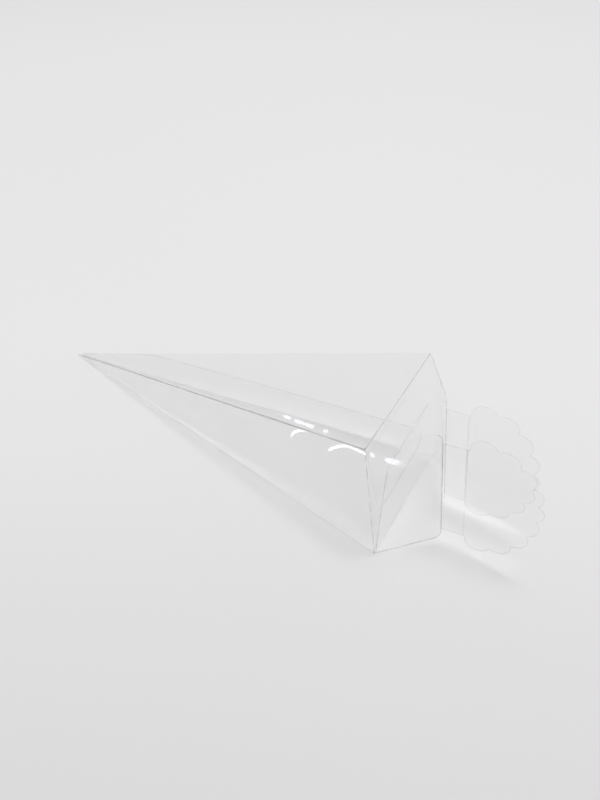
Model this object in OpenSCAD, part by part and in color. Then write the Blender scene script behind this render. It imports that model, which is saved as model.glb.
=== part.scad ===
// Clear film cone box: four tapering panels folded from one die-cut sheet and glued along one
// long edge, two dust flaps folded in over the mouth, and two half lids that stand half open,
// each with a scalloped crest. It lies on its bottom panel, tip towards -X, mouth towards +X.

/* [Cone] */
// Width of each side of the square mouth, in mm
mouth_w = 60; // [50:0.5:75]
// Length of the long slanted edges, from the tip to a mouth corner, in mm
edge_len = 198; // [150:1:240]
// Thickness of the film, in mm
film_t = 0.3; // [0.2:0.05:0.5]
// Length that is missing at the blunt tip, measured along a panel, in mm
tip_blunt = 2; // [1.5:0.1:3]
// Distance from the tip to the origin, along the bottom panel, in mm
rest_from_tip = 123; // [80:1:140]

/* [Glued seam] */
// Width of the glue flap inside the back panel, in mm
glue_w = 15; // [8:0.5:18]
// Slope of the glue flap's end at the mouth, in degrees
glue_end_angle = 30; // [10:1:50]
// Distance from the mouth to the glue flap's end, in mm
glue_end_gap = 1.5; // [0.5:0.1:4]

/* [Dust flaps] */
// Length of each dust flap from its crease to its free edge, in mm
dust_len = 44; // [35:0.5:48]
// Narrowing at each end of the crease, in mm
dust_root_inset = 1; // [0.8:0.1:2]
// Narrowing at each end of the free edge, in mm
dust_tip_inset = 9; // [5:0.5:12]
// Radius of the free corners, in mm
dust_corner_r = 5; // [2:0.5:8]
// Fold of the bottom dust flap away from its panel, in degrees
bottom_dust_fold = 93.8; // [92:0.1:97]
// Fold of the top dust flap away from its panel, in degrees
top_dust_fold = 100.5; // [99:0.1:104]

/* [Half lids] */
// Length of each half lid from its hinge crease to its crest crease, in mm
lid_len = 28; // [24:0.5:29.5]
// Narrowing of a half lid at each side, in mm
lid_inset = 0.8; // [0.6:0.1:2]
// Radius of the corners beside the crest, in mm
lid_corner_r = 3.6; // [2:0.2:4.5]
// Clear width of the crease that a half lid turns about, in mm
hinge_gap = 0.5; // [0.4:0.05:0.8]
// Fold of the front half lid away from its panel, in degrees
front_lid_fold = 51; // [40:0.5:55]
// Fold of the back half lid away from its panel, in degrees
back_lid_fold = 65.4; // [60:0.2:67]

/* [Crests] */
// Width across a crest, in mm
crest_w = 60; // [56:0.5:60]
// Reach of a crest from its crease to its farthest scallop, in mm
crest_len = 37; // [33:0.5:39]
// Length of the neck between the crest crease and the scalloped fan, in mm
neck_len = 9.5; // [8:0.5:11]
// Width of the neck, in mm
neck_w = 47.6; // [40:0.2:49]
// Radius of each scallop, in mm
scallop_r = 5.2; // [5:0.1:6]
// Number of scallops round a crest
scallop_count = 9; // [9:1:11]
// Shift of the scallops towards an even spacing along the fan's edge, in degrees
scallop_shift = 5; // [0:0.5:6]
// Fold of the front crest back from its half lid, in degrees
front_crest_fold = 39; // [35:0.5:50]
// Fold of the back crest back from its half lid, in degrees
back_crest_fold = 54; // [50:0.5:60]

/* [Hidden] */
// Angle at the tip of one panel, and the panel's length along its middle
half_apex = asin(mouth_w / 2 / edge_len);
panel_len = sqrt(edge_len * edge_len - mouth_w * mouth_w / 4);
// Slope between a panel and the middle line of the cone
tilt = asin(mouth_w / 2 / panel_len);
// Arc step of rounded corners and scallops, in degrees
arc_step = 10;
// Film colour, a clear sheet that looks a cool grey in a drawing
film_colour = [0.80, 0.84, 0.87, 0.45];

// Points of an arc about centre c, from angle a0 to angle a1
function arc(c, r, a0, a1) =
    let (n = max(2, ceil(abs(a1 - a0) / arc_step)))
    [for (i = [0:n]) let (a = a0 + (a1 - a0) * i / n) c + r * [cos(a), sin(a)]];

// Rounded corner at point b between the lines to a and c, seen as an arc that bulges towards b
function corner(a, b, c, r) =
    let (
        u = (a - b) / norm(a - b),
        v = (c - b) / norm(c - b),
        half = acos(u * v) / 2,
        centre = b + (u + v) / norm(u + v) * r / sin(half),
        p = b + u * r / tan(half) - centre,
        q = b + v * r / tan(half) - centre,
        a0 = atan2(p[1], p[0]),
        a1 = atan2(q[1], q[0]),
        turn = a1 - a0 > 180 ? a1 - a0 - 360 : a1 - a0 < -180 ? a1 - a0 + 360 : a1 - a0
    )
    arc(centre, r, a0, a0 + turn);

// Lies the cone down on panel 0 and counts the other panels round its middle line
module on_panel(i) {
    rotate([0, -tilt, 0]) rotate([90 * i, 0, 0]) rotate([0, tilt, 0]) children();
}

// A flat sheet of film from the 2D outline, its outer face at z = 0
module film() {
    linear_extrude(height = film_t) children();
}

// One triangular panel, blunt at the tip
module panel_outline() {
    tip = tip_blunt * tan(half_apex);
    polygon([[tip_blunt, -tip], [panel_len, -mouth_w / 2], [panel_len, mouth_w / 2], [tip_blunt, tip]]);
}

// Glue flap: the strip of the back panel that lies along the bottom panel's edge
module glue_outline() {
    run = glue_w * tan(glue_end_angle);
    intersection() {
        panel_outline();
        rotate(-half_apex)
            polygon([[0, 0], [edge_len - glue_end_gap, 0], [edge_len - glue_end_gap - run, glue_w], [0, glue_w]]);
    }
}

// Dust flap with a narrowed free edge and two rounded corners
module dust_outline(root) {
    a = [root, mouth_w / 2 - dust_root_inset];
    b = [dust_len, mouth_w / 2 - dust_tip_inset];
    c = [dust_len, dust_tip_inset - mouth_w / 2];
    d = [root, dust_root_inset - mouth_w / 2];
    polygon(concat([a], corner(a, b, c, dust_corner_r), corner(b, c, d, dust_corner_r), [d]));
}

// Half lid, nearly as wide as the mouth, with two rounded corners beside the crest
module lid_outline() {
    w = mouth_w / 2 - lid_inset;
    a = [hinge_gap, w];
    b = [lid_len, w];
    c = [lid_len, -w];
    d = [hinge_gap, -w];
    polygon(concat([a], corner(a, b, c, lid_corner_r), corner(b, c, d, lid_corner_r), [d]));
}

// Centre of scallop i, counted from one side of the crest to the other, on half an ellipse
function scallop_centre(i) =
    let (step = 180 / (scallop_count - 1), a = step * i + scallop_shift * sin(2 * step * i))
    [
        neck_len + scallop_r + (crest_len - neck_len - 2 * scallop_r) * sin(a),
        (crest_w / 2 - scallop_r) * cos(a)
    ];

// Point where scallops i and i + 1 meet on the outside of the crest
function notch(i) =
    let (
        p = scallop_centre(i),
        q = scallop_centre(i + 1),
        d = norm(q - p),
        outward = [-(q - p)[1], (q - p)[0]] / d
    )
    (p + q) / 2 + outward * sqrt(scallop_r * scallop_r - d * d / 4);

// Direction of point p as seen from the centre of scallop i
function bearing(p, i) = let (v = p - scallop_centre(i)) atan2(v[1], v[0]);

// Scallop i as an arc from its notch on one side to its notch on the other; the two end ones
// run on to the straight base of the fan
function scallop(i) =
    let (
        last = scallop_count - 1,
        a0 = i == 0 ? 180 : bearing(notch(i - 1), i),
        a1 = i == last ? -180 : bearing(notch(i), i)
    )
    arc(scallop_centre(i), scallop_r, a0, a1);

// Crest: a straight neck and a scalloped fan, drawn from the crest crease outwards
module crest_outline() {
    w = neck_w / 2;
    polygon([for (i = [0:scallop_count - 1]) each scallop(i)]);
    polygon([[0, -w], [neck_len + scallop_r, -w], [neck_len + scallop_r, w], [0, w]]);
}

// Dust flap folded in over the mouth; root keeps the fold inside the panel's outer face
module dust_flap(fold) {
    translate([panel_len, 0, 0]) rotate([0, -fold, 0]) film() dust_outline(film_t * tan(fold - 90));
}

// Half lid turned about its hinge crease, with its crest folded back
module half_lid(fold, crest_fold) {
    translate([panel_len, 0, film_t / 2]) rotate([0, -fold, 0]) translate([0, 0, -film_t / 2]) {
        film() lid_outline();
        translate([lid_len, 0, film_t]) rotate([0, crest_fold, 0]) translate([0, 0, -film_t])
            film() crest_outline();
    }
}

// Four panels, the glue flap inside the back one, and the two dust flaps
module cone() {
    color(film_colour) translate([-rest_from_tip, 0, 0]) {
        for (i = [0:3]) on_panel(i) film() panel_outline();
        on_panel(1) translate([0, 0, film_t]) film() glue_outline();
        on_panel(0) dust_flap(bottom_dust_fold);
        on_panel(2) dust_flap(top_dust_fold);
    }
}

// Half lid on the front panel, which faces -Y
module front_half_lid() {
    color(film_colour) translate([-rest_from_tip, 0, 0]) on_panel(3) half_lid(front_lid_fold, front_crest_fold);
}

// Half lid on the back panel, which faces +Y
module back_half_lid() {
    color(film_colour) translate([-rest_from_tip, 0, 0]) on_panel(1) half_lid(back_lid_fold, back_crest_fold);
}

cone();
front_half_lid();
back_half_lid();
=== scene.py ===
"""Clear film cone box lying on its bottom panel, with its half lids standing half open.

The sheets of film are worked out in millimetres from the tip of the cone, along the bottom
panel, and moved to the frame at the end. The table, lamps and camera are in metres.
"""
import math

import bpy
import numpy as np
from mathutils import Matrix, Vector


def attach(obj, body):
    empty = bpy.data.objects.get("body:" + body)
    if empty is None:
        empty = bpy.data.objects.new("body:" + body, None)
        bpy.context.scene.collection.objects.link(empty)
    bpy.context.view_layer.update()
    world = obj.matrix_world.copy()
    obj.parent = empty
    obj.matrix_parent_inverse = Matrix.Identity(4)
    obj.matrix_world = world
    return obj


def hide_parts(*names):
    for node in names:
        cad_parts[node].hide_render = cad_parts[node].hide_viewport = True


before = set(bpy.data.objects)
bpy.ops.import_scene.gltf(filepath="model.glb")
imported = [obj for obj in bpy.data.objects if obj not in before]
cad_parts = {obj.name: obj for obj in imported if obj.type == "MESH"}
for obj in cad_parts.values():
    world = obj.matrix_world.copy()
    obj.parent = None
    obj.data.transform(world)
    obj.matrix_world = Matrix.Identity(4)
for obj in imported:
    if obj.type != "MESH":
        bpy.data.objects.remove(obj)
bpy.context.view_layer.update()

# ---------------------------------------------------------------- sizes of the cone, in mm
MOUTH = 60.0
EDGE = 198.0
FILM = 0.3
TIP_BLUNT = 2.0
REST_FROM_TIP = 123.0
GLUE_WIDTH, GLUE_END_ANGLE, GLUE_END_GAP = 15.0, 30.0, 1.5
DUST_LENGTH, DUST_ROOT_INSET, DUST_TIP_INSET, DUST_CORNER = 44.0, 1.0, 9.0, 5.0
BOTTOM_DUST_FOLD, TOP_DUST_FOLD = 93.8, 100.5
LID_LENGTH, LID_INSET, LID_CORNER, HINGE_GAP = 28.0, 0.8, 3.6, 0.5
FRONT_LID_FOLD, BACK_LID_FOLD = 51.0, 65.4
CREST_WIDTH, CREST_REACH, NECK_LENGTH, NECK_WIDTH = 60.0, 37.0, 9.5, 47.6
SCALLOP_RADIUS, SCALLOPS, SCALLOP_SHIFT = 5.2, 9, 5.0
FRONT_CREST_FOLD, BACK_CREST_FOLD = 39.0, 54.0

PANEL = math.sqrt(EDGE ** 2 - MOUTH ** 2 / 4)
TILT = math.asin(MOUTH / 2 / PANEL)
HALF_APEX = math.asin(MOUTH / 2 / EDGE)
MOUTH_AT = PANEL * math.cos(TILT)

# How far the bottom, back, top and front panel bow outwards at most
PANEL_BOW = (0.0, 0.5, 0.7, 0.6)
# Bend radius of the long edges, and how much wider the ridge's bend is where it has buckled, as
# a bell curve along the cone with its middle and its width in shares of the cone's length
EDGE_RADIUS = 0.55
BUCKLE_RADIUS, BUCKLE_AT, BUCKLE_SPREAD = 1.1, 0.76, 0.07
# Height of the crown of a dust flap and of a half lid
DUST_CROWN, LID_CROWN = 0.5, 0.35

# ---------------------------------------------------------------- how lines and dents show
# How strongly each crease shows: long edges after the bottom, back, top and front panel, and the
# mouth's edges on the same panels
LONG_EDGE_GAIN = (0.10, 0.06, 0.60, 0.16)
MOUTH_GAIN = (0.02, 0.0, 0.28, 0.16)
GLUE_LINE_GAIN = 0.12
# A score runs across each crest just short of the fan
SCORE_AT = 8.9
# The side of a lid's own plane that points up, on the back and on the front panel
UPWARD = {1: 1.0, 3: -1.0}
# Where the floor of a dent faces, on the cone's ridge and on the front half lid
RIDGE_DENT_FACING = (-0.313, -0.72, 0.62)
LID_DENT_FACING = (0.48, -0.42, 0.70)
# Small dents along the ridge on the top panel: distance from the tip, width and depth
RIDGE_DENTS = ((156.5, 3.0, 0.8), (163.0, 2.2, 1.4), (168.5, 2.0, 1.4), (176.5, 1.3, 1.2))

# ---------------------------------------------------------------- fineness of the meshes
SIDE_STEPS, CORNER_STEPS, STATIONS = 44, 6, 190
PANEL_COLUMNS = SIDE_STEPS + CORNER_STEPS
SHEET_RINGS, RIM_POINTS = 16, 300
# Distance in mm that stands for no line nearby
FAR = 9.0


# ---------------------------------------------------------------- places and folds
def turn_x(angle):
    """Rotation matrix about X by an angle in radians."""
    c, s = math.cos(angle), math.sin(angle)
    return np.array([[1, 0, 0], [0, c, -s], [0, s, c]])


def turn_y(angle):
    """Rotation matrix about Y by an angle in radians."""
    c, s = math.cos(angle), math.sin(angle)
    return np.array([[c, 0, s], [0, 1, 0], [-s, 0, c]])


def panel_frame(i):
    """Panel i is panel 0 turned by i quarter turns about the cone's middle line, and then the
    whole cone is laid down by its slope."""
    return turn_y(-TILT) @ turn_x(math.radians(90 * i)) @ turn_y(TILT)


def to_frame(points):
    """Millimetres from the tip become metres from the frame's origin."""
    return (points - np.array([REST_FROM_TIP, 0, 0])) / 1000.0


# ---------------------------------------------------------------- meshes
def add_piece(name, points, faces, body, node, material, edge_mm, rims=None, edge_material=None):
    """Mesh from arrays of points and faces, with the distance to the nearest cut edge or crease
    in millimetres as the attribute edge_mm; rims marks the faces that are cut edges."""
    mesh = bpy.data.meshes.new(name)
    mesh.from_pydata(points.tolist(), [], faces)
    mesh.materials.append(material)
    if edge_material is not None:
        mesh.materials.append(edge_material)
        mesh.polygons.foreach_set("material_index", np.asarray(rims, dtype=np.int32))
    mesh.attributes.new("dent_facing", "FLOAT_VECTOR", "POINT")
    mesh.polygons.foreach_set("use_smooth", np.ones(len(faces), dtype=bool))
    mesh.update()
    piece = bpy.data.objects.new(name, mesh)
    bpy.context.scene.collection.objects.link(piece)
    add_values(piece, "edge_mm", edge_mm)
    set_facing(piece, (0.0, 0.0, 1.0))
    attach(piece, body)
    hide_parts(node)
    return piece


def add_values(piece, name, values):
    """One number per point of the piece, as an attribute."""
    layer = piece.data.attributes.new(name, "FLOAT", "POINT")
    layer.data.foreach_set("value", np.asarray(values, dtype=np.float32))


def set_facing(piece, facing):
    """The direction that the floor of the piece's dents faces, the same at each point."""
    facing = np.asarray(facing, dtype=float) / np.linalg.norm(facing)
    layer = piece.data.attributes["dent_facing"]
    layer.data.foreach_set("vector", np.tile(facing, len(piece.data.vertices)).astype(np.float32))


def add_dents(piece, distance, strength, facing):
    """A narrow dent in the film: distance from its middle line in half widths, how deep it is, and
    the direction that its floor faces."""
    add_values(piece, "dent_mm", distance)
    add_values(piece, "dent_gain", strength)
    set_facing(piece, facing)


def grid_faces(rows, columns, offset=0, closed=False, flip=False):
    """Quads of a grid of rows by columns; closed joins the last column to the first."""
    r = np.arange(rows - 1)[:, None]
    c = np.arange(columns if closed else columns - 1)[None, :]
    n = (c + 1) % columns
    a, b = r * columns + c, r * columns + n
    quads = np.stack([a, b, b + columns, a + columns], axis=-1).reshape(-1, 4) + offset
    return quads[:, ::-1] if flip else quads


def distance_to_outline(points, outline):
    """Shortest distance from each 2D point to the closed outline, side by side: the point is
    projected on each side's line and held between the side's ends."""
    start = outline
    along = np.roll(outline, -1, axis=0) - start
    length2 = np.maximum((along ** 2).sum(1), 1e-9)
    offset = points[:, None, :] - start[None, :, :]
    t = np.clip((offset * along).sum(2) / length2, 0, 1)
    return np.sqrt(((offset - t[..., None] * along) ** 2).sum(2)).min(1)


def resample(outline, count):
    """The outline's corners kept, and points added along its sides, count or more in all."""
    closed = np.vstack([outline, outline[:1]])
    length = np.linalg.norm(np.diff(closed, axis=0), axis=1)
    pieces = np.maximum(1, np.round(length / length.sum() * count)).astype(int)
    return np.vstack([
        a + (b - a) * (np.arange(n) / n)[:, None]
        for a, b, n in zip(closed[:-1], closed[1:], pieces)
    ])


def arc(centre, radius, start, stop, step=6.0):
    """Points on a circle about centre, from one angle to another, in degrees."""
    n = max(2, int(math.ceil(abs(stop - start) / step)))
    a = np.radians(np.linspace(start, stop, n + 1))
    return np.asarray(centre) + radius * np.stack([np.cos(a), np.sin(a)], axis=1)


def bearing(v):
    """Angle of a 2D vector, in degrees."""
    return math.degrees(math.atan2(v[1], v[0]))


def rounded_end(root, length, root_half, end_half, radius):
    """Outline of a flap from its crease at x = root: two sides that run in to end_half at
    x = length, with a rounded corner at each end of the free edge, tangent to both lines."""
    side = np.array([root - length, root_half - end_half], dtype=float)
    side /= np.linalg.norm(side)
    across = np.array([0.0, -1.0])
    half = math.acos(float(side @ across)) / 2
    corner = np.array([length, end_half])
    bisector = (side + across) / np.linalg.norm(side + across)
    centre = corner + bisector * radius / math.sin(half)
    p = corner + side * radius / math.tan(half) - centre
    q = corner + across * radius / math.tan(half) - centre
    upper = arc(centre, radius, bearing(p), bearing(q))
    return np.vstack([[[root, -root_half]], upper * [1, -1], upper[::-1], [[root, root_half]]])


def crest_outline():
    """Neck and fan of a crest from its crease at x = 0. Scallop i is an arc about a point on
    half an ellipse, shifted along it towards an even spacing; neighbours meet where their
    circles cross on the outside."""
    angle = np.pi * np.arange(SCALLOPS) / (SCALLOPS - 1)
    angle = angle + math.radians(SCALLOP_SHIFT) * np.sin(2 * angle)
    fan_reach = CREST_REACH - NECK_LENGTH - 2 * SCALLOP_RADIUS
    centres = np.stack([
        NECK_LENGTH + SCALLOP_RADIUS + fan_reach * np.sin(angle),
        (CREST_WIDTH / 2 - SCALLOP_RADIUS) * np.cos(angle),
    ], axis=1)
    step = np.diff(centres, axis=0)
    gap = np.linalg.norm(step, axis=1)
    outward = np.stack([-step[:, 1], step[:, 0]], axis=1) / gap[:, None]
    rise = np.sqrt(SCALLOP_RADIUS ** 2 - gap ** 2 / 4)[:, None]
    notches = (centres[:-1] + centres[1:]) / 2 + outward * rise
    base = np.array([NECK_LENGTH, centres[0, 1]])
    ends = np.vstack([[base], notches, [base * [1, -1]]])
    arcs = []
    for centre, a, b in zip(centres, ends[:-1], ends[1:]):
        start, stop = bearing(a - centre), bearing(b - centre)
        if stop > start:
            stop -= 360
        arcs.append(arc(centre, SCALLOP_RADIUS, start, stop)[:-1])
    side = NECK_WIDTH / 2
    neck = [base * [1, -1], [NECK_LENGTH, -side], [0, -side], [0, side], [NECK_LENGTH, side]]
    outline = np.vstack(arcs + [neck])
    return outline[::-1]


def star_sheet(outline, centre):
    """Flat star-shaped sheet: rings of points between its centre and its outline, closer
    together near the outline. Returns 2D points and faces of the upper side."""
    rim = resample(outline, RIM_POINTS)
    inside = np.linspace(0, 1, SHEET_RINGS + 1)[1:-1] ** 0.8 * 0.94
    share = np.concatenate([inside, [0.955, 0.97, 0.982, 0.991, 1.0]])
    grid = np.asarray(centre) + share[:, None, None] * (rim - centre)[None, :, :]
    points = np.vstack([[centre], grid.reshape(-1, 2)])
    n = len(rim)
    c = np.arange(n)
    fan = np.stack([np.zeros(n, int), 1 + c, 1 + (c + 1) % n], axis=1)
    quads = grid_faces(len(share), n, offset=1, closed=True, flip=True)
    return points, fan, quads, n, rim


def film_sheet(name, outline, centre, place, body, node, bend, gain, crease_side,
               score=None, dents=None):
    """One flat area of film as a closed thin solid: star_sheet twice, one film apart, joined by
    cut edges. bend lifts a point by a height in mm, place turns the area into position, gain is
    how strongly its outline shows, and crease_side tells where the outline is a crease."""
    flat, fan, quads, n, rim = star_sheet(outline, centre)
    lift = bend(flat[:, 0], flat[:, 1])
    outer = np.column_stack([flat, lift])
    inner = np.column_stack([flat, lift + FILM])
    points = to_frame(place(np.vstack([outer, inner])))
    m = len(flat)
    last = m - n
    c = np.arange(n)
    rims = np.stack([last + c, last + (c + 1) % n, m + last + (c + 1) % n, m + last + c], axis=1)
    upper = (fan + m).tolist() + (quads + m).tolist()
    lower = fan[:, ::-1].tolist() + quads[:, ::-1].tolist()
    faces = upper + lower + rims.tolist()
    near = distance_to_outline(flat, rim)
    marks = np.zeros(len(faces), dtype=int)
    middle = rim + (np.roll(rim, -1, axis=0) - rim) / 2
    marks[len(upper) + len(lower):] = np.where(crease_side(middle[:, 0], middle[:, 1]), 0, 1)
    piece = add_piece(name, points, faces, body, node, MATERIALS["film"], np.tile(near, 2), marks,
                      MATERIALS["cut edge"])
    add_values(piece, "line_gain", np.tile(gain(flat[:, 0], flat[:, 1]), 2))
    if dents is not None:
        distance, depth = dents(flat[:, 0], flat[:, 1])
        add_dents(piece, np.tile(distance, 2), np.tile(depth, 2), LID_DENT_FACING)
    if score is not None:
        place_mm, strength = score(flat[:, 0], flat[:, 1])
        add_values(piece, "score_mm", np.tile(place_mm, 2))
        add_values(piece, "score_gain", np.tile(strength, 2))


# ---------------------------------------------------------------- the four panels
def wall_section(at, inset):
    """Points round the cone at distances at along its middle line, inset inwards by a film:
    four sides that bow out by a parabola, and rounded corners between them."""
    half = at * math.tan(TILT)
    along = at / MOUTH_AT
    y = np.linspace(-1, 1, SIDE_STEPS + 1)
    columns = []
    turn = np.radians(np.linspace(-90, 0, CORNER_STEPS + 1)[1:-1])
    for side in range(4):
        bow = bow_at(side, along)
        radius = np.minimum(corner_radius(side, along), 0.42 * half)
        flat = half - radius
        p = flat[:, None] * y[None, :]
        q = -(half[:, None] + bow[:, None] * (1 - y[None, :] ** 2)) + inset
        cp = flat[:, None] + (radius[:, None] - inset) * np.cos(turn)[None, :]
        cq = -flat[:, None] + (radius[:, None] - inset) * np.sin(turn)[None, :]
        p, q = np.hstack([p, cp]), np.hstack([q, cq])
        c, s = math.cos(math.radians(90 * side)), math.sin(math.radians(90 * side))
        columns.append(np.stack([c * p - s * q, s * p + c * q], axis=-1))
    return np.concatenate(columns, axis=1)


def bow_at(side, along):
    """Bow of a panel at a share of its length, in mm: half a sine wave from tip to mouth."""
    return PANEL_BOW[side] * np.sin(np.pi * np.clip(along, 0, 1)) ** 0.8


def corner_radius(side, along):
    """Bend radius of the long edge after panel side, in mm. The ridge between the top and the
    front panel has buckled to a wider bend before the mouth."""
    plain = np.full_like(along, EDGE_RADIUS)
    if side == 2:
        return plain + BUCKLE_RADIUS * hump(along, BUCKLE_AT, BUCKLE_SPREAD)
    return plain


def hump(u, middle, width):
    """Bell curve, 1 at its middle."""
    return np.exp(-((u - middle) / width) ** 2)


def window(u, start, full, fade, stop):
    """0 before start and after stop, 1 between full and fade, straight between."""
    return np.clip(np.minimum((u - start) / (full - start), (stop - u) / (stop - fade)), 0, 1)


def cone_wall():
    """Outer and inner skins of the four panels on one grid round and along the cone, joined at
    the mouth and closed by a point at the tip."""
    at_outer = TIP_BLUNT + (MOUTH_AT - TIP_BLUNT) * np.linspace(0, 1, STATIONS) ** 1.15
    at_inner = np.maximum(at_outer, 5.0 + (MOUTH_AT - 5.0) * np.linspace(0, 1, STATIONS) ** 1.15)
    inset = np.minimum(FILM, 0.8 * at_inner * math.tan(TILT))[:, None]
    outer, inner = wall_section(at_outer, 0.0), wall_section(at_inner, inset)
    columns = outer.shape[1]
    axis = turn_y(-TILT)

    def solid(at, section):
        along = np.broadcast_to(at[:, None], section.shape[:2])
        return np.stack([along, section[..., 0], section[..., 1]], axis=-1).reshape(-1, 3) @ axis.T

    tips = np.array([[TIP_BLUNT - 0.4, 0, 0], [4.2, 0, 0]]) @ axis.T
    points = np.vstack([solid(at_outer, outer), solid(at_inner, inner), tips])
    points[:, 2] = np.maximum(points[:, 2], 0.0)
    m = STATIONS * columns
    c = np.arange(columns)
    n = (c + 1) % columns
    row = m - columns
    faces = grid_faces(STATIONS, columns, closed=True).tolist()
    faces += grid_faces(STATIONS, columns, offset=m, closed=True, flip=True).tolist()
    faces += np.stack([row + c, row + n, m + row + n, m + row + c], axis=1).tolist()
    faces += np.stack([np.full(columns, 2 * m), n, c], axis=1).tolist()
    faces += np.stack([np.full(columns, 2 * m + 1), m + c, m + n], axis=1).tolist()

    half = (at_outer * math.tan(TILT))[:, None]
    straight, bent = np.linspace(-1, 1, SIDE_STEPS + 1), np.linspace(-1, 1, CORNER_STEPS + 1)[1:-1]
    zero_straight, zero_bent = 0 * straight, 0 * bent

    def round_the_cone(on_side, on_corner):
        """A row of values for a panel and the corner after it, repeated round the cone."""
        return np.tile(np.concatenate([on_side, on_corner]), 4)[None, :]

    radius = np.repeat(np.stack([corner_radius(side, at_outer / MOUTH_AT) for side in range(4)], axis=1),
                       PANEL_COLUMNS, axis=1)
    # A crease's line runs along the middle of its bend, an eighth of a turn from each panel
    to_long_edge = (half * round_the_cone(1 - np.abs(straight), zero_bent)
                    + radius * round_the_cone(zero_straight + math.pi / 4, np.abs(bent) * math.pi / 4))
    to_mouth = (MOUTH_AT - at_outer)[:, None] / math.cos(TILT) + 0 * to_long_edge
    near = np.minimum(to_long_edge, to_mouth)
    both = lambda a: np.concatenate([np.tile(a.reshape(-1), 2), [FAR, FAR]])
    piece = add_piece("cone_wall", to_frame(points), faces, "cone", "cone", MATERIALS["film"], both(near))

    # Which long edge is nearest sets how strongly its line shows; the front one at the mouth is
    # broken into dashes
    side = np.repeat(np.arange(4), PANEL_COLUMNS)
    place = np.tile(np.arange(PANEL_COLUMNS), 4)
    edge = np.where(place < SIDE_STEPS / 2, (side + 3) % 4, side)
    gain = np.broadcast_to(np.asarray(LONG_EDGE_GAIN)[edge][None, :], near.shape)
    dashes = np.where((side == 3) & (np.sin(0.9 * place) < -0.3), 0.2, 1.0)
    at_mouth = (np.asarray(MOUTH_GAIN)[side] * dashes)[None, :]
    add_values(piece, "line_gain", both(np.where(to_mouth < to_long_edge, at_mouth, gain)))

    across = np.concatenate([straight, np.ones(CORNER_STEPS - 1)])[None, :]
    on_panel = lambda i: slice(i * PANEL_COLUMNS, (i + 1) * PANEL_COLUMNS)
    # u is the distance from the tip along a panel, and from_start and to_end are the distances
    # from the long edges before and after it
    u = at_outer[:, None] / math.cos(TILT)
    from_start, to_end = half * (1 + across), half * (1 - across)
    distance, depth = np.full(near.shape, FAR), np.zeros(near.shape)
    distance[:, on_panel(3)], depth[:, on_panel(3)] = front_dents(u, from_start)
    distance[:, on_panel(2)], depth[:, on_panel(2)] = top_dents(u, to_end)
    add_dents(piece, both(distance), both(depth), RIDGE_DENT_FACING)
    # The back panel's shadow is faint away from the mouth and along its foot
    pale = np.zeros(near.shape)
    pale[:, on_panel(1)] = 1 - np.clip((u - 130) / 40, 0.15, 1) * np.clip(from_start / 14, 0.1, 1)
    add_values(piece, "light_shade", both(pale))


def front_dents(u, below):
    """Two dents that run down from the buckled ridge on the front panel, each a curve of
    distance below the ridge over u, as half widths from its middle line and as depth."""
    hook = below - (0.1 + 5.8 * np.clip((168.5 - u) / 9, 0, 1.2) ** 2.3)
    bow = below - (0.7 + 5.6 * np.clip((188.5 - u) / 10, 0, 1.3) ** 1.6
                   + 0.14 * np.clip(u - 189.5, 0, 9))
    depth = np.where(u < 173, window(u, 158.6, 160, 167, 169), window(u, 177.6, 179, 196, 197.5))
    return np.where(u < 173, hook * 0.8, bow * 0.9), depth * (below < 12)


def top_dents(u, above):
    """A row of small dents 2.1 mm above the ridge on the top panel."""
    depth = sum(deep * hump(u, middle, width) for middle, width, deep in RIDGE_DENTS)
    return (above - 2.1) * 0.75, np.clip(depth, 0, 1.2) * (above < 8)


def glue_flap():
    """Strip of the second layer of film inside the back panel, along the glued edge: width is the
    least of the full width, the panel's own width there, and the sloped end."""
    slope = math.tan(2 * HALF_APEX)
    end = EDGE - GLUE_END_GAP
    u = np.linspace(6.0, end - 0.01, 160)
    end_slope = math.tan(math.radians(GLUE_END_ANGLE))
    width = np.minimum.reduce([np.full_like(u, GLUE_WIDTH), u * slope * 0.94, (end - u) / end_slope])
    v = np.concatenate([np.linspace(0, 0.9, 12), [0.94, 0.97, 0.985, 1.0]])
    uu = np.repeat(u[:, None], len(v), axis=1)
    vv = width[:, None] * v[None, :] + 0.35
    c, s = math.cos(-HALF_APEX), math.sin(-HALF_APEX)
    flat = np.stack([c * uu - s * vv, s * uu + c * vv], axis=-1).reshape(-1, 2)
    rows, columns = len(u), len(v)
    gap = 0.02
    lower = np.column_stack([flat, np.full(len(flat), FILM + gap)])
    upper = lower + [0, 0, FILM]
    m = rows * columns
    bulge = panel_bulge(1, flat)
    lower[:, 2] -= bulge
    upper[:, 2] -= bulge
    points = np.vstack([lower, upper]) @ panel_frame(1).T
    faces = grid_faces(rows, columns).tolist() + grid_faces(rows, columns, offset=m, flip=True).tolist()
    first, row = np.arange(rows - 1) * columns, np.arange(columns - 1)
    last, end_row = first + columns - 1, (rows - 1) * columns + np.arange(columns - 1)
    sides = np.vstack([
        np.stack([a, b, b + m, a + m], axis=1)
        for a, b in ((first, first + columns), (last + columns, last), (row + 1, row), (end_row, end_row + 1))
    ])
    marks = np.concatenate([np.zeros(len(faces), int), np.ones(len(sides), int)])
    faces += sides.tolist()
    near = np.minimum((width[:, None] * (1 - v[None, :])), FAR).reshape(-1)
    piece = add_piece("glue_flap", to_frame(points), faces, "cone", "cone", MATERIALS["film"],
                      np.tile(near, 2), marks, MATERIALS["cut edge"])
    add_values(piece, "line_gain", np.full(2 * m, GLUE_LINE_GAIN))


def panel_bulge(side, flat):
    """How far the bowed panel stands out from its flat plane at points of that plane, in mm."""
    along = np.clip(flat[:, 0] / PANEL, 0, 1)
    across = flat[:, 1] / np.maximum(flat[:, 0] * math.tan(HALF_APEX), 1e-6)
    return bow_at(side, along) * np.clip(1 - across ** 2, 0, 1)


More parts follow.
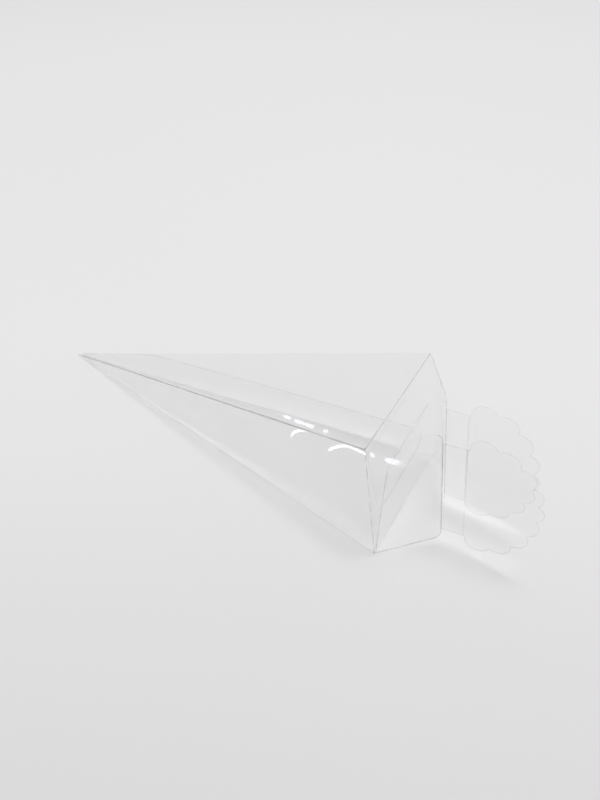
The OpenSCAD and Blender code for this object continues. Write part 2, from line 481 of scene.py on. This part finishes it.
# ---------------------------------------------------------------- flaps at the mouth
def fold_about(fold, pivot_lift):
    """Turn a flap's own plane inwards by fold about the crease line at its x = 0."""
    turn = turn_y(-math.radians(fold))
    shift = np.array([0, 0, pivot_lift])
    return lambda points: (points - shift) @ turn.T + shift + [PANEL, 0, 0]


def crowned(length, height):
    """Height of a flap that is flat at its crease and its free edge and crowned between them:
    half a sine wave along it, a parabola across it."""
    return lambda x, y: height * np.sin(np.pi * np.clip(x / length, 0, 1)) * (1 - (2 * y / MOUTH) ** 2)


def dust_flap(name, panel, fold, end_line, side_line):
    """Dust flap. end_line and side_line are how strongly its free edge and its near side show;
    the far side hardly shows at all."""
    root = FILM * math.tan(math.radians(fold - 90))
    outline = rounded_end(root, DUST_LENGTH, MOUTH / 2 - DUST_ROOT_INSET, MOUTH / 2 - DUST_TIP_INSET,
                          DUST_CORNER)
    hinge = fold_about(fold, 0.0)
    turn = panel_frame(panel)

    def gain(x, y):
        fade = np.clip((19 - y) / 4, 0.02, 1)
        return np.where(x < 2.0, 0.0, np.where(x > DUST_LENGTH - 6, end_line, side_line) * fade)

    film_sheet(name, outline, np.array([DUST_LENGTH * 0.48, 0.0]), lambda p: hinge(p) @ turn.T,
               "cone", "cone", crowned(DUST_LENGTH, DUST_CROWN), gain,
               crease_side=lambda x, y: x < root + 0.01)


def half_lid(name, panel, fold, crest_fold, body, node, lines, dent_depth):
    """Half lid and its crest: two flat areas, the crest turned back about the lid's far edge.
    lines is how strongly the crease, the far edge, the low side, the high side, the crest's
    outline and the crest's score show."""
    side = MOUTH / 2 - LID_INSET
    lid = rounded_end(HINGE_GAP, LID_LENGTH, side, side - 0.001, LID_CORNER)
    turn = panel_frame(panel)
    hinge = fold_about(fold, FILM / 2)
    back = turn_y(math.radians(crest_fold))

    def on_crest(points):
        return (points - [0, 0, FILM]) @ back.T + [LID_LENGTH, 0, FILM]

    up = UPWARD[panel]
    root_line, end_line, low_line, high_line, crest_line, score_line = lines

    def lid_gain(x, y):
        return np.select([x < 1.0, x > LID_LENGTH - 2.0, y * up < 0],
                         [root_line, end_line, low_line], high_line)

    def lid_crease(x, y):
        return (x < HINGE_GAP + 0.01) | ((x > LID_LENGTH - 0.01) & (np.abs(y) < NECK_WIDTH / 2))

    def crest_bend(x, y):
        """The crest's two sides curl back a little, more towards its top."""
        return -0.010 * np.clip(x - 2.0, 0, None) ** 1.5 * (2 * y / MOUTH) ** 2

    def score(x, y):
        """Distance from the score, and its strength, which fades towards the low side."""
        return x - SCORE_AT, score_line * np.clip(0.15 + y * up / 25, 0.1, 1)

    def dents(x, y):
        """A soft bend from the lid's upper corner at its crease down across the lid."""
        from_top = side - y * up
        middle = 0.4 + 0.98 * x - 0.013 * x ** 2
        depth = 0.8 * hump(x, 2.2, 1.6) + 1.5 * window(x, 5.0, 8.5, 17, 26)
        return (from_top - middle) * 0.5, dent_depth * depth

    film_sheet(name, lid, np.array([LID_LENGTH * 0.5, 0.0]), lambda p: hinge(p) @ turn.T, body, node,
               crowned(LID_LENGTH, LID_CROWN), lid_gain, lid_crease, dents=dents if dent_depth else None)
    film_sheet(name + "_crest", crest_outline(), np.array([CREST_REACH * 0.54, 0.0]),
               lambda p: hinge(on_crest(p)) @ turn.T, body, node, crest_bend,
               lambda x, y: np.full_like(x, crest_line), crease_side=lambda x, y: x < 0.01, score=score)


# ---------------------------------------------------------------- materials
class Socket:
    """An output socket that takes Python's operators and adds a Math node for each."""

    def __init__(self, nodes, output):
        self.nodes, self.output = nodes, output

    def math(self, operation, *values):
        return self.nodes.add("ShaderNodeMath", {"operation": operation}, dict(enumerate(values)))

    def __add__(self, other): return self.math("ADD", self, other)
    def __radd__(self, other): return self.math("ADD", other, self)
    def __sub__(self, other): return self.math("SUBTRACT", self, other)
    def __rsub__(self, other): return self.math("SUBTRACT", other, self)
    def __mul__(self, other): return self.math("MULTIPLY", self, other)
    def __rmul__(self, other): return self.math("MULTIPLY", other, self)
    def __truediv__(self, other): return self.math("DIVIDE", self, other)
    def __pow__(self, other): return self.math("POWER", self, other)


class Nodes:
    """A material's or world's node tree, emptied and built up by its add method."""

    def __init__(self, owner):
        owner.use_nodes = True
        self.tree = owner.node_tree
        self.tree.nodes.clear()

    def add(self, kind, settings=None, inputs=None, output=0):
        node = self.tree.nodes.new(kind)
        for key, value in (settings or {}).items():
            setattr(node, key, value)
        for key, value in (inputs or {}).items():
            if isinstance(value, Socket):
                self.tree.links.new(value.output, node.inputs[key])
            else:
                node.inputs[key].default_value = value
        return Socket(self, node.outputs[output]) if node.outputs else node

    def attribute(self, name):
        return self.add("ShaderNodeAttribute", {"attribute_name": name}, output="Fac")

    def noise(self, scale, detail):
        place = self.add("ShaderNodeTexCoord", output="Object")
        return self.add("ShaderNodeTexNoise", inputs={"Vector": place, "Scale": scale, "Detail": detail},
                        output="Fac")

    def axis(self, vector, index):
        return self.add("ShaderNodeSeparateXYZ", inputs={0: vector}, output=index)

    def ramp_down(self, value, start, stop):
        """1 below start, 0 above stop, smooth between."""
        return self.add("ShaderNodeMapRange", {"interpolation_type": "SMOOTHSTEP", "clamp": True},
                        {"Value": value, "From Min": start, "From Max": stop, "To Min": 1.0, "To Max": 0.0})

    def mix_colour(self, share, a, b):
        """Colour a where share is 0, b where it is 1. Inputs 6 and 7 and output 2 are the node's
        colour sockets."""
        return self.add("ShaderNodeMix", {"data_type": "RGBA"}, {"Factor": share, 6: a, 7: b}, output=2)

    def uneven_line(self):
        """Patches along the lines, 1 in the fainter ones."""
        return self.ramp_down(self.noise(240.0, 2.0), 0.36, 0.62)


# Share of light that the film turns back when seen squarely, and what more there is at a grazing
# angle; the lamps' light meets less of it, because what a standing sheet turns aside comes down
# close by and lightens its shadow
SQUARE_SHEEN, GRAZING_SHEEN, LESS_IN_SHADOW = 0.055, 0.945, 0.55
# How strong a line is where it is whole, and what it loses in its faint patches
LINE_STRENGTH, LINE_WEAR = 1.15, 0.45


def film_material():
    """Clear film: it lets light straight through, reflects by the angle of view as a polished
    sheet does, and shows a grey line along creases and scores. Where it is seen squarely its
    mirror colour is greyed, painted shade that darkens the film. The floors of its dents face one
    way and mirror a lamp."""
    material = bpy.data.materials.new("clear film")
    n = Nodes(material)
    facing = n.add("ShaderNodeLayerWeight", inputs={"Blend": 0.5}, output="Facing")
    in_shadow = n.add("ShaderNodeLightPath", output="Is Shadow Ray")
    grazing = (GRAZING_SHEEN - LESS_IN_SHADOW * in_shadow) * facing ** 5.0
    sheen = SQUARE_SHEEN + grazing * (1.0 - in_shadow * n.attribute("light_shade"))

    crease = n.ramp_down(n.attribute("edge_mm"), 0.15, 0.42) * n.attribute("line_gain")
    from_score = n.attribute("score_mm")
    score = n.ramp_down(from_score * from_score, 0.02, 0.2) * n.attribute("score_gain")
    line = (crease + score) * (LINE_STRENGTH - LINE_WEAR * n.uneven_line())
    cover = sheen + line * (1.0 - sheen)
    line_share = line / (cover + 0.001)

    from_dent = n.attribute("dent_mm")
    profile = n.ramp_down(from_dent * from_dent, 0.0, 1.0) * n.attribute("dent_gain")
    dented = 1.0 - n.ramp_down(profile * (0.5 + 1.0 * n.noise(330.0, 1.0)), 0.22, 0.62)
    waves = n.add("ShaderNodeBump", inputs={"Strength": 0.12, "Distance": 0.0015,
                                            "Height": n.noise(28.0, 1.5)}, output="Normal")
    floor = n.add("ShaderNodeAttribute", {"attribute_name": "dent_facing"}, output="Vector")
    floor = n.add("ShaderNodeVectorTransform",
                  {"vector_type": "NORMAL", "convert_from": "OBJECT", "convert_to": "WORLD"},
                  {"Vector": floor})
    # Inputs 4 and 5 and output 1 are the mix node's vector sockets
    normal = n.add("ShaderNodeMix", {"data_type": "VECTOR"}, {"Factor": dented, 4: waves, 5: floor}, output=1)
    normal = n.add("ShaderNodeVectorMath", {"operation": "NORMALIZE"}, {0: normal})

    # Painted shade: outside the dents, the film's mirror colour greys from 0.98 at a grazing angle to 0.84
    # where the film is seen squarely, so the film looks darker
    squarely_seen_painted_shade = n.ramp_down(facing, 0.35, 0.75) * (1.0 - dented)
    clear = n.mix_colour(squarely_seen_painted_shade, (0.98, 0.98, 0.99, 1), (0.84, 0.84, 0.85, 1))
    shader = n.add("ShaderNodeBsdfPrincipled", inputs={
        "Base Color": n.mix_colour(line_share, clear, (0.42, 0.43, 0.45, 1)),
        "Metallic": 1.0 - line_share,
        "Roughness": 0.05 + 0.25 * line,
        "Alpha": cover,
        "Normal": normal,
    })
    n.add("ShaderNodeOutputMaterial", inputs={"Surface": shader})
    return material


def cut_edge_material():
    """Cut edge of the film: light that travels inside the sheet leaves here, so it is a denser
    grey than the sheet, and glossy."""
    material = bpy.data.materials.new("cut film edge")
    n = Nodes(material)
    tone = n.uneven_line()
    shader = n.add("ShaderNodeBsdfPrincipled", inputs={
        "Base Color": n.mix_colour(tone, (0.30, 0.31, 0.33, 1), (0.62, 0.64, 0.66, 1)),
        "Roughness": 0.25,
        "Alpha": n.attribute("line_gain") * (LINE_STRENGTH - LINE_WEAR * tone),
    })
    n.add("ShaderNodeOutputMaterial", inputs={"Surface": shader})
    return material


def table_material():
    """Matt off-white table, a little darker at its front right than at its back left: painted shade for the
    light falling off towards the front, with a little random tone.
    """
    material = bpy.data.materials.new("table")
    n = Nodes(material)
    place = n.add("ShaderNodeTexCoord", output="Object")
    across, back = n.axis(place, 0), n.axis(place, 1)
    # Painted shade: the colour darkens towards the front right as if the light fell off there; the noise adds
    # a little random tone
    painted_shade_and_tone = n.ramp_down(back - 0.5 * across, -0.32, 0.07) + 0.10 * n.noise(3.0, 1.0)
    shader = n.add("ShaderNodeBsdfPrincipled", inputs={
        "Base Color": n.mix_colour(painted_shade_and_tone, (0.788, 0.788, 0.788, 1), (0.655, 0.650, 0.650, 1)),
        "Roughness": 0.9,
    })
    n.add("ShaderNodeOutputMaterial", inputs={"Surface": shader})
    return material


MATERIALS = {"film": film_material(), "cut edge": cut_edge_material(), "table": table_material()}

cone_wall()
glue_flap()
dust_flap("bottom_dust_flap", 0, BOTTOM_DUST_FOLD, end_line=0.30, side_line=0.30)
dust_flap("top_dust_flap", 2, TOP_DUST_FOLD, end_line=0.40, side_line=0.0)
half_lid("front_lid_film", 3, FRONT_LID_FOLD, FRONT_CREST_FOLD, "front_lid", "front_half_lid",
         lines=(0.02, 0.30, 0.28, 0.005, 0.08, 0.22), dent_depth=1.0)
half_lid("back_lid_film", 1, BACK_LID_FOLD, BACK_CREST_FOLD, "back_lid", "back_half_lid",
         lines=(0.0, 0.20, 0.02, 0.40, 0.07, 0.07), dent_depth=0.0)


# ---------------------------------------------------------------- table, light and camera
def table():
    """A large flat square of table, a hair below the object so that their faces stay apart."""
    mesh = bpy.data.meshes.new("table_top")
    r = 6.0
    mesh.from_pydata([(-r, -r, 0), (r, -r, 0), (r, r, 0), (-r, r, 0)], [], [(0, 1, 2, 3)])
    mesh.materials.append(MATERIALS["table"])
    top = bpy.data.objects.new("table_top", mesh)
    bpy.context.scene.collection.objects.link(top)
    top.location.z = -0.0002


def sky():
    """Soft room light: brighter above and behind the object, dimmer towards the camera's side."""
    world = bpy.data.worlds.new("room")
    bpy.context.scene.world = world
    n = Nodes(world)
    direction = n.add("ShaderNodeTexCoord", output="Generated")
    up = n.add("ShaderNodeMapRange", {"clamp": True}, {"Value": n.axis(direction, 2), "From Min": -0.1,
                                                       "From Max": 0.9, "To Min": 0.0, "To Max": 1.0})
    far = 1.0 - n.ramp_down(n.axis(direction, 1), -0.7, 0.3)
    low = n.mix_colour(far, (0.46, 0.46, 0.465, 1), (0.72, 0.72, 0.725, 1))
    colour = n.mix_colour(up, low, (0.83, 0.83, 0.83, 1))
    light = n.add("ShaderNodeBackground", inputs={"Color": colour, "Strength": 1.0})
    n.add("ShaderNodeOutputWorld", inputs={"Surface": light})


def hang(data, aim, towards, distance):
    """A lamp at a distance from the point it aims at, in the direction towards."""
    lamp = bpy.data.objects.new(data.name, data)
    bpy.context.scene.collection.objects.link(lamp)
    aim = Vector(aim)
    lamp.location = aim + Vector(towards).normalized() * distance
    lamp.rotation_euler = (aim - lamp.location).to_track_quat("-Z", "Y").to_euler()


def ceiling_light():
    """One ceiling panel almost straight above, a little behind the object."""
    data = bpy.data.lights.new("ceiling_light", "AREA")
    data.shape, data.size, data.size_y = "RECTANGLE", 0.80, 0.24
    data.energy = 11.0
    hang(data, (0.03, 0.0, 0.02), (0.0, 0.14, 1.0), 2.2)


def side_lamps():
    """Two small soft lamps low on the left and higher on the right, for gloss on bent film."""
    for name, towards, size, energy in (
        ("left_lamp", (-0.80, -0.55, 0.25), 0.46, 1.5),
        ("right_lamp", (0.66, -0.24, 0.66), 0.40, 1.1),
    ):
        data = bpy.data.lights.new(name, "AREA")
        data.shape, data.size, data.energy = "DISK", size, energy
        data.color = (0.97, 0.96, 1.0)
        hang(data, (0.06, -0.02, 0.04), towards, 1.8)


def camera():
    """The photograph's view: in front of the mouth's lower side, 45 degrees down."""
    data = bpy.data.cameras.new("camera")
    data.lens, data.sensor_width, data.clip_start = 27.9, 36.0, 0.01
    eye = bpy.data.objects.new("camera", data)
    bpy.context.scene.collection.objects.link(eye)
    right = Vector((0.861, 0.509, 0.0)).normalized()
    ahead = Vector((-0.362, 0.612, -0.703)).normalized()
    up = right.cross(ahead).normalized()
    right = ahead.cross(up).normalized()
    turn = Matrix((right, up, -ahead)).transposed()
    eye.matrix_world = Matrix.Translation((0.11518, -0.16109, 0.22092)) @ turn.to_4x4()
    bpy.context.scene.camera = eye


table()
sky()
ceiling_light()
side_lamps()
camera()
bpy.context.scene.view_settings.view_transform = "Standard"
cycles = bpy.context.scene.cycles
# Light crosses up to a dozen sheets of film on its way, with two faces each
cycles.transparent_max_bounces = 64
cycles.max_bounces = 24
cycles.glossy_bounces = 16
# Light thrown on the table by the standing sheets keeps its shape
cycles.blur_glossy = 0.1
